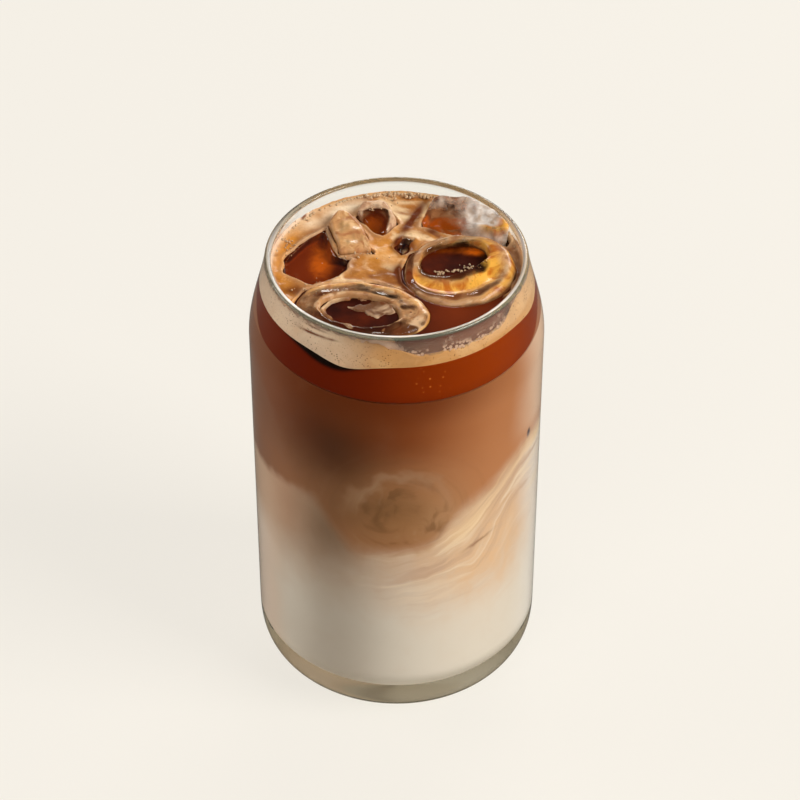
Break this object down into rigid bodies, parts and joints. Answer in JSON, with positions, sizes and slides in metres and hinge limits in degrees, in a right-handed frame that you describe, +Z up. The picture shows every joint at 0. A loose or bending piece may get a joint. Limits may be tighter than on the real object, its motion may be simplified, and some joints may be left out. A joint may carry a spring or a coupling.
{
  "type": "iced latte in a glass",
  "caption": "Can-shaped clear glass filled with milk, milk coffee, dark coffee and foam in layers, with melting ice floating on top.",
  "frame": {"origin": "middle of the foot, on the surface the glass stands on", "axes": "+Z up along the glass axis, -Y towards the front of the drink"},
  "size_m": [0.076, 0.076, 0.1346],
  "materials": {
    "glass": "clear, polished, faintly green at the edge",
    "milk": "cold milk, opaque",
    "latte": "milk coffee with swirls, opaque",
    "coffee": "strong dark coffee, glossy",
    "foam": "fine golden coffee foam",
    "ice": "melting ice, wet"
  },
  "bodies": {
    "root": {"glass": "glass", "milk": "milk", "latte": "latte", "coffee": "coffee", "foam": "foam", "ice_ring_front": "ice", "ice_ring_right": "ice", "ice_left": "ice", "ice_wedge": "ice", "ice_back": "ice", "ice_small": "ice", "ice_slab": "ice"}
  },
  "joints": []
}
